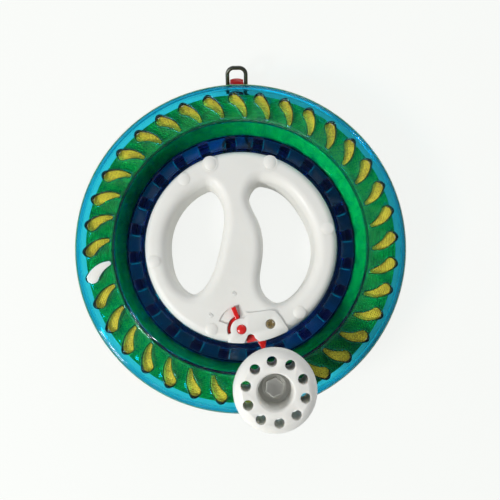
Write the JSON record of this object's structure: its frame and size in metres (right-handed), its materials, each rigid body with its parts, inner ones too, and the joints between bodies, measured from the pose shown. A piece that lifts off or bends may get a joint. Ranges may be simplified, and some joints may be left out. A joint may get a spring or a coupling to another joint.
{
  "type": "kite line winder",
  "caption": "Flat hand winder for kite line: a clear blue flanged spool turns on ball bearings round a white two-hole grip, with a drilled winding knob, a red lock and a wire line guide.",
  "frame": {"origin": "on the spool's axis, in the plane of the grip's back face", "axes": "+Z out of the front, towards the knob side; +Y from the axis towards the line guide; +X to the right as the front is seen"},
  "size_m": [0.2, 0.2257, 0.0678],
  "materials": {
    "white_plastic": "satin",
    "clear_blue": "clear gloss",
    "yellow_line": "wound twisted line",
    "red_plastic": "gloss",
    "stainless": "bright",
    "screw_steel": "zinc plated",
    "bearing_steel": "ground",
    "brass": "dull"
  },
  "bodies": {
    "grip": {"grip_front_shell": "white_plastic", "grip_rear_shell": "white_plastic", "grip_screws": "screw_steel", "guide_screws": "screw_steel", "bearing_cores": "bearing_steel", "lock_cover": "white_plastic", "lock_cover_screw": "brass", "guide_wire": "stainless", "guide_roller_pin": "stainless"},
    "spool": {"spool_front_half": "clear_blue", "spool_rear_half": "clear_blue", "line_winding": "yellow_line", "window_plug": "white_plastic", "knob_threaded_insert": "brass", "knob_sleeve": "stainless", "knob_washer": "stainless", "knob_bolt": "stainless"},
    "knob": {"winding_knob": "white_plastic"},
    "lever": {"lock_lever": "red_plastic"},
    "bolt": {"lock_bolt": "red_plastic"},
    "roller": {"guide_roller": "red_plastic"},
    "bearing_1": {"bearing_1_outer_ring": "bearing_steel"},
    "bearing_2": {"bearing_2_outer_ring": "bearing_steel"},
    "bearing_3": {"bearing_3_outer_ring": "bearing_steel"},
    "bearing_4": {"bearing_4_outer_ring": "bearing_steel"},
    "bearing_5": {"bearing_5_outer_ring": "bearing_steel"},
    "bearing_6": {"bearing_6_outer_ring": "bearing_steel"}
  },
  "joints": [
    {"name": "spool_spin", "type": "hinge", "parent": "grip", "child": "spool", "pos_m": [0, 0, 0.021], "axis": [0, 0, 1], "continuous": true},
    {"name": "knob_spin", "type": "hinge", "parent": "spool", "child": "knob", "pos_m": [0.01769, -0.08252, 0.0575], "axis": [0, 0, 1], "continuous": true},
    {"name": "lever_turn", "type": "hinge", "parent": "grip", "child": "lever", "pos_m": [-0.0003, -0.0513, 0.028], "axis": [0, 0, 1], "range_deg": [0, 36]},
    {"name": "bolt_slide", "type": "slide", "parent": "grip", "child": "bolt", "axis": [0.1994, -0.9799, 0], "range_m": [0, 0.0034]},
    {"name": "roller_spin", "type": "hinge", "parent": "grip", "child": "roller", "pos_m": [-0.0015, 0.1111, 0.01061], "axis": [1, 0, 0], "continuous": true},
    {"name": "bearing_1_spin", "type": "hinge", "parent": "grip", "child": "bearing_1", "pos_m": [0.01859, 0.05107, 0.021], "axis": [0, 0, 1], "continuous": true},
    {"name": "bearing_2_spin", "type": "hinge", "parent": "grip", "child": "bearing_2", "pos_m": [0.05352, 0.00944, 0.021], "axis": [0, 0, 1], "continuous": true},
    {"name": "bearing_3_spin", "type": "hinge", "parent": "grip", "child": "bearing_3", "pos_m": [0.03494, -0.04163, 0.021], "axis": [0, 0, 1], "continuous": true},
    {"name": "bearing_4_spin", "type": "hinge", "parent": "grip", "child": "bearing_4", "pos_m": [-0.01859, -0.05107, 0.021], "axis": [0, 0, 1], "continuous": true},
    {"name": "bearing_5_spin", "type": "hinge", "parent": "grip", "child": "bearing_5", "pos_m": [-0.05352, -0.00944, 0.021], "axis": [0, 0, 1], "continuous": true},
    {"name": "bearing_6_spin", "type": "hinge", "parent": "grip", "child": "bearing_6", "pos_m": [-0.03494, 0.04163, 0.021], "axis": [0, 0, 1], "continuous": true}
  ],
  "couplings": [
    {"joint": "lever_turn", "follows": "bolt_slide", "rad_per_m": 184.79},
    {"joint": "bearing_1_spin", "follows": "spool_spin", "ratio": 9.3692},
    {"joint": "bearing_2_spin", "follows": "spool_spin", "ratio": 9.3692},
    {"joint": "bearing_3_spin", "follows": "spool_spin", "ratio": 9.3692},
    {"joint": "bearing_4_spin", "follows": "spool_spin", "ratio": 9.3692},
    {"joint": "bearing_5_spin", "follows": "spool_spin", "ratio": 9.3692},
    {"joint": "bearing_6_spin", "follows": "spool_spin", "ratio": 9.3692}
  ]
}
